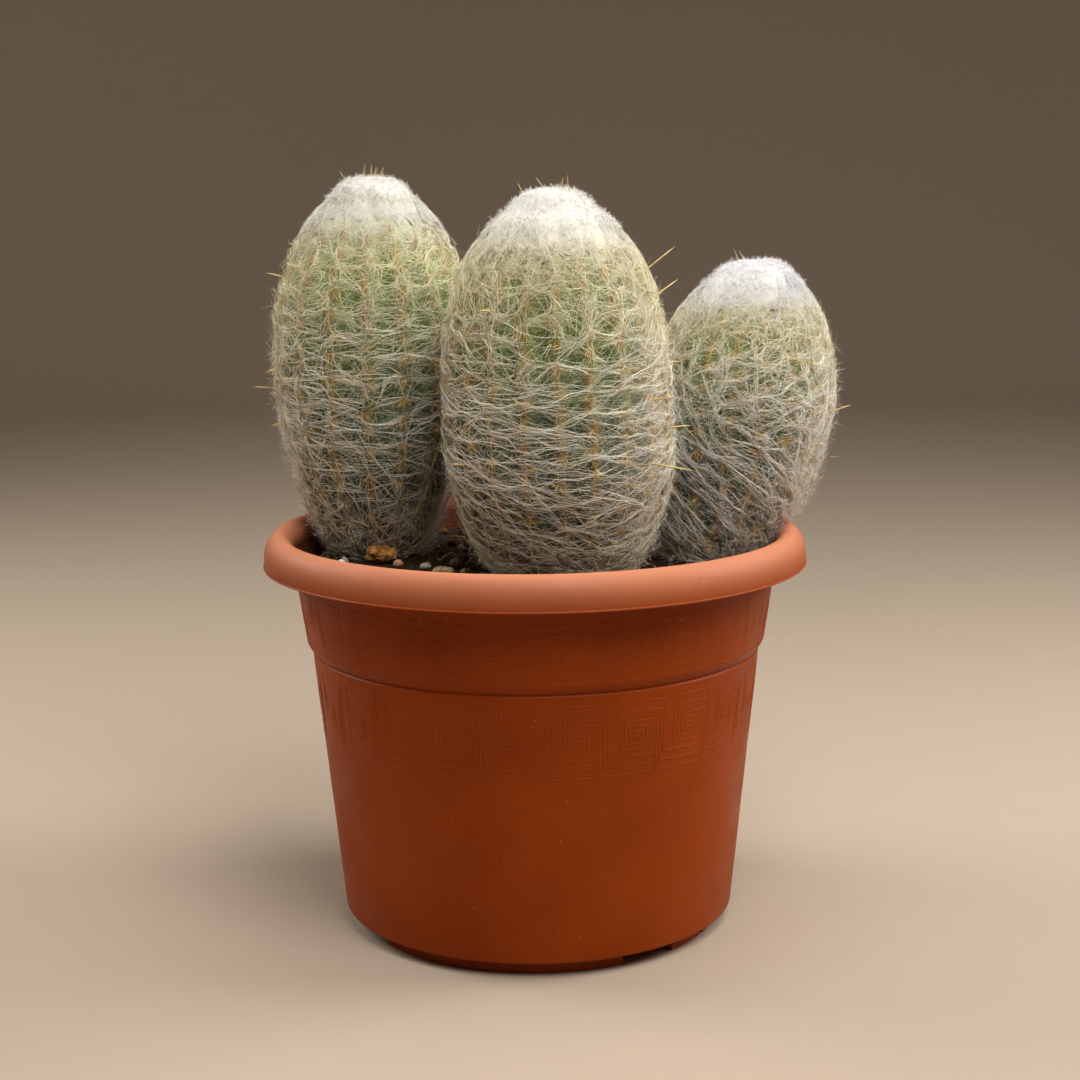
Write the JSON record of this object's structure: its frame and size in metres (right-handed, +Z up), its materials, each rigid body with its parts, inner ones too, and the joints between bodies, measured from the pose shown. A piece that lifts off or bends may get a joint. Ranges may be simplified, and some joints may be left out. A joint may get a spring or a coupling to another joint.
{
  "type": "potted woolly cactus",
  "caption": "Three ribbed column cacti under a net of white wool with yellow spines, standing in soil in a round plastic pot with a rolled rim.",
  "frame": {"origin": "on the surface that the pot stands on, under the middle of the whole object's box", "axes": "+Z up along the pot's axis, -Y towards the side that the picture shows, +X to the right as seen from there"},
  "size_m": [0.1566, 0.14, 0.1931],
  "materials": {
    "pot_plastic": "satin moulded terracotta-coloured plastic",
    "soil": "dark crumbly potting soil",
    "green_skin": "waxy green cactus skin with yellow spines",
    "wool": "fine white to cream plant wool",
    "bark": "rough orange-brown bark",
    "pink_stone": "matt pebble",
    "grey_stone": "matt pebble",
    "tan_stone": "matt angular stone",
    "olive_stone": "matt pebble",
    "perlite": "white porous grain"
  },
  "bodies": {
    "root": {"pot": "pot_plastic", "soil": "soil", "stem_left": "green_skin", "stem_middle": "green_skin", "stem_right": "green_skin", "wool_left": "wool", "wool_middle": "wool", "wool_right": "wool", "bark_chip": "bark", "pebble_pink": "pink_stone", "pebble_grey": "grey_stone", "stone_tan": "tan_stone", "pebble_olive": "olive_stone", "perlite": "perlite"}
  },
  "joints": []
}
